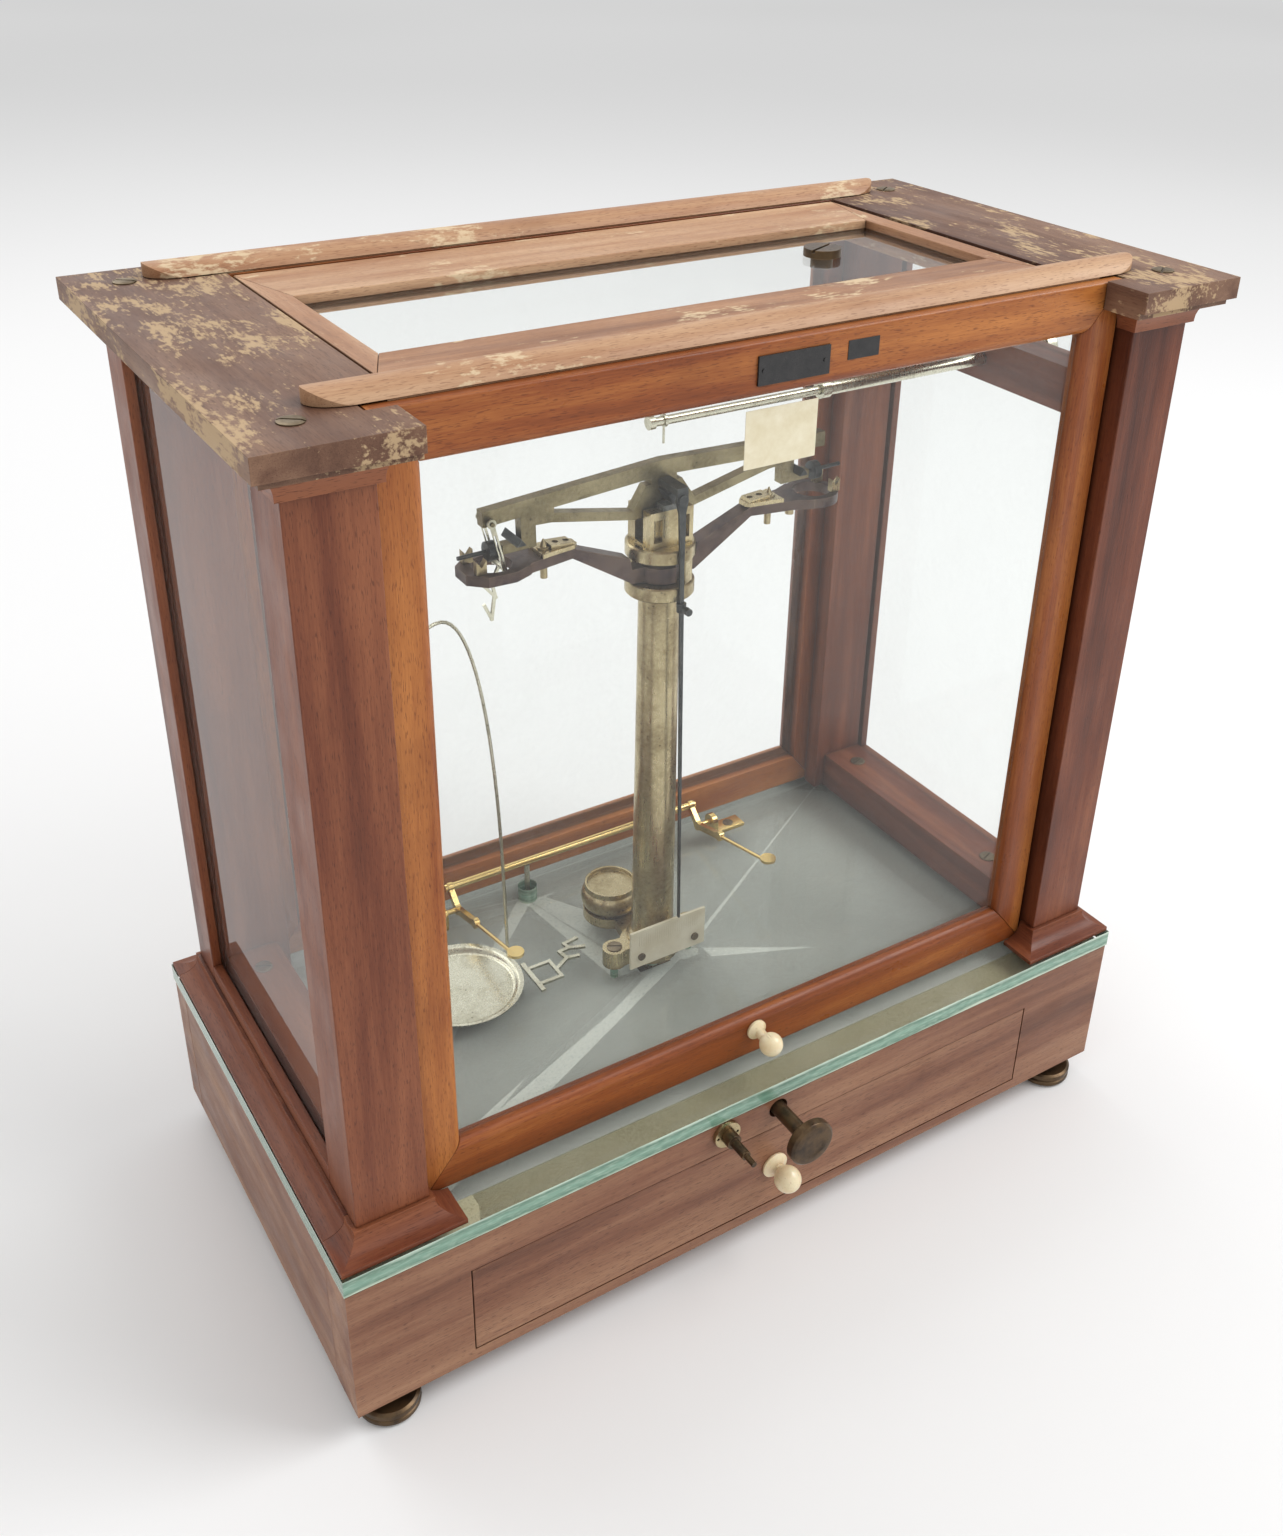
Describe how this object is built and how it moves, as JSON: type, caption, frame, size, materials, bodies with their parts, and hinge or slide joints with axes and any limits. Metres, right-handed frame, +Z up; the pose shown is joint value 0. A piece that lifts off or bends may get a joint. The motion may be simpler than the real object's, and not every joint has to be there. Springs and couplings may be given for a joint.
{
  "type": "two-pan analytical beam balance in a glazed case",
  "caption": "Equal-arm pharmacy balance with knife edges and a beam arrest in a glazed mahogany case on a drawer base, with sliding sashes and levelling feet.",
  "frame": {"origin": "on the standing surface, under the middle of the outline", "axes": "+X to the right seen from the front, +Y towards the back, +Z up; the drawer and the front sash face -Y"},
  "size_m": [0.472, 0.272, 0.4833],
  "materials": {
    "mahogany": "satin",
    "sash_wood": "satin",
    "worn_top": "matte",
    "deal": "matte",
    "plate_glass": "clear",
    "window_glass": "clear",
    "brass": "aged",
    "bright_brass": "polished",
    "bronze": "dark bronzed",
    "purple_bronze": "dark bronzed",
    "black_steel": "blackened",
    "nickel": "nickelled",
    "lead": "dull",
    "bone": "polished",
    "enamel": "satin",
    "agate": "polished",
    "cream_cloth": "woven",
    "grey_cloth": "woven"
  },
  "bodies": {
    "case": {"base_front": "mahogany", "base_sides": "mahogany", "base_back": "mahogany", "base_bottom": "deal", "base_deck": "deal", "drawer_guides": "deal", "lining_front": "cream_cloth", "lining_floor": "grey_cloth", "glass_floor": "plate_glass", "foot_rear": "bronze", "plinths": "mahogany", "pillars_front": "mahogany", "pillars_rear": "mahogany", "cornices": "mahogany", "end_boards": "worn_top", "side_rails": "mahogany", "rider_rail": "mahogany", "panes": "window_glass", "screws": "bright_brass", "lid_frame": "worn_top", "column_base": "brass", "column": "brass", "column_head": "brass", "agate_planes": "agate", "spindle_hangers": "brass", "scale_plate": "enamel", "level": "brass", "pan_brackets": "bright_brass"},
    "drawer": {"drawer_front": "mahogany", "drawer_tray": "deal", "drawer_knob": "bone"},
    "front_sash": {"front_sash": "sash_wood", "front_pane": "window_glass", "front_bead": "worn_top", "sash_knob": "bone", "number_plate": "enamel"},
    "rear_sash": {"rear_sash": "sash_wood", "rear_pane": "window_glass", "rear_bead": "worn_top"},
    "counterweights": {"counterweights": "lead"},
    "lid_plug": {"lid_plug": "bright_brass"},
    "foot_left": {"foot_left": "bronze"},
    "foot_right": {"foot_right": "bronze"},
    "arrest_knob": {"arrest_spindle": "bronze"},
    "arrest": {"arrest_frame": "purple_bronze", "arrest_fittings": "brass", "lift_rod": "nickel"},
    "beam": {"beam": "brass", "knives": "black_steel", "pointer": "black_steel"},
    "nut_left": {"nut_left": "black_steel"},
    "nut_right": {"nut_right": "black_steel"},
    "hanger": {"hanger": "nickel"},
    "pan_control": {"pan_spindle": "bronze"},
    "push_pin": {"push_pin": "nickel"},
    "pan_arrest": {"pan_arrest": "bright_brass"},
    "rider_sleeve": {"rider_sleeve": "nickel"},
    "rider_rod": {"rider_rod": "nickel"},
    "pan": {"pan": "nickel"},
    "stirrup": {"stirrup": "nickel"}
  },
  "joints": [
    {"name": "drawer_slide", "type": "slide", "parent": "case", "child": "drawer", "axis": [0, -1, 0], "range_m": [0, 0.14]},
    {"name": "front_sash_slide", "type": "slide", "parent": "case", "child": "front_sash", "axis": [0, 0, 1], "range_m": [0, 0.23]},
    {"name": "counterweight_slide", "type": "slide", "parent": "case", "child": "counterweights", "axis": [0, 0, 1], "range_m": [-0.23, 0]},
    {"name": "rear_sash_slide", "type": "slide", "parent": "case", "child": "rear_sash", "axis": [0, 0, 1], "range_m": [0, 0.23]},
    {"name": "lid_plug_lift", "type": "slide", "parent": "case", "child": "lid_plug", "axis": [0, 0, 1], "range_m": [0, 0.02]},
    {"name": "foot_left_turn", "type": "hinge", "parent": "case", "child": "foot_left", "pos_m": [-0.216, -0.094, 0.005], "axis": [0, 0, 1], "range_deg": [-180, 180]},
    {"name": "foot_right_turn", "type": "hinge", "parent": "case", "child": "foot_right", "pos_m": [0.204, -0.094, 0.005], "axis": [0, 0, 1], "range_deg": [-180, 180]},
    {"name": "arrest_knob_turn", "type": "hinge", "parent": "case", "child": "arrest_knob", "pos_m": [-0.006, 0.014, 0.0875], "axis": [0, -1, 0], "range_deg": [0, 180]},
    {"name": "arrest_lift", "type": "slide", "parent": "case", "child": "arrest", "axis": [0, 0, 1], "range_m": [0, 0.003]},
    {"name": "beam_tilt", "type": "hinge", "parent": "case", "child": "beam", "pos_m": [-0.006, 0.014, 0.3735], "axis": [0, 1, 0], "range_deg": [-0.6, 3]},
    {"name": "nut_left_turn", "type": "hinge", "parent": "beam", "child": "nut_left", "pos_m": [-0.09586, 0.014, 0.36597], "axis": [0.9998, 0, 0.0209], "range_deg": [-180, 180]},
    {"name": "nut_right_turn", "type": "hinge", "parent": "beam", "child": "nut_right", "pos_m": [0.0841, 0.014, 0.36974], "axis": [0.9998, 0, 0.0209], "range_deg": [-180, 180]},
    {"name": "hanger_swing", "type": "hinge", "parent": "beam", "child": "hanger", "pos_m": [-0.09718, 0.014, 0.38104], "axis": [0, 1, 0], "range_deg": [-2.5, 2.5]},
    {"name": "pan_control_turn", "type": "hinge", "parent": "case", "child": "pan_control", "pos_m": [-0.038, 0.014, 0.0875], "axis": [0, -1, 0], "range_deg": [0, 90]},
    {"name": "push_pin_lift", "type": "slide", "parent": "case", "child": "push_pin", "axis": [0, 0, 1], "range_m": [0, 0.0014]},
    {"name": "pan_arrest_swing", "type": "hinge", "parent": "case", "child": "pan_arrest", "pos_m": [-0.006, 0.09, 0.113], "axis": [1, 0, 0], "range_deg": [0, 8]},
    {"name": "rider_sleeve_slide", "type": "slide", "parent": "case", "child": "rider_sleeve", "axis": [1, 0, 0], "range_m": [0, 0.07]},
    {"name": "rider_rod_turn", "type": "hinge", "parent": "rider_sleeve", "child": "rider_rod", "pos_m": [-0.006, 0.014, 0.411], "axis": [1, 0, 0], "range_deg": [-60, 60]},
    {"name": "pan_lift", "type": "slide", "parent": "case", "child": "pan", "axis": [0, 0, 1], "range_m": [0, 0.004]},
    {"name": "stirrup_lift", "type": "slide", "parent": "case", "child": "stirrup", "axis": [0, 0, 1], "range_m": [0, 0.02]}
  ],
  "couplings": [
    {"joint": "counterweight_slide", "follows": "front_sash_slide", "ratio": -1},
    {"joint": "arrest_knob_turn", "follows": "arrest_lift", "rad_per_m": 1047.2},
    {"joint": "pan_control_turn", "follows": "push_pin_lift", "rad_per_m": 1122},
    {"joint": "pan_arrest_swing", "follows": "push_pin_lift", "rad_per_m": 99.733}
  ]
}
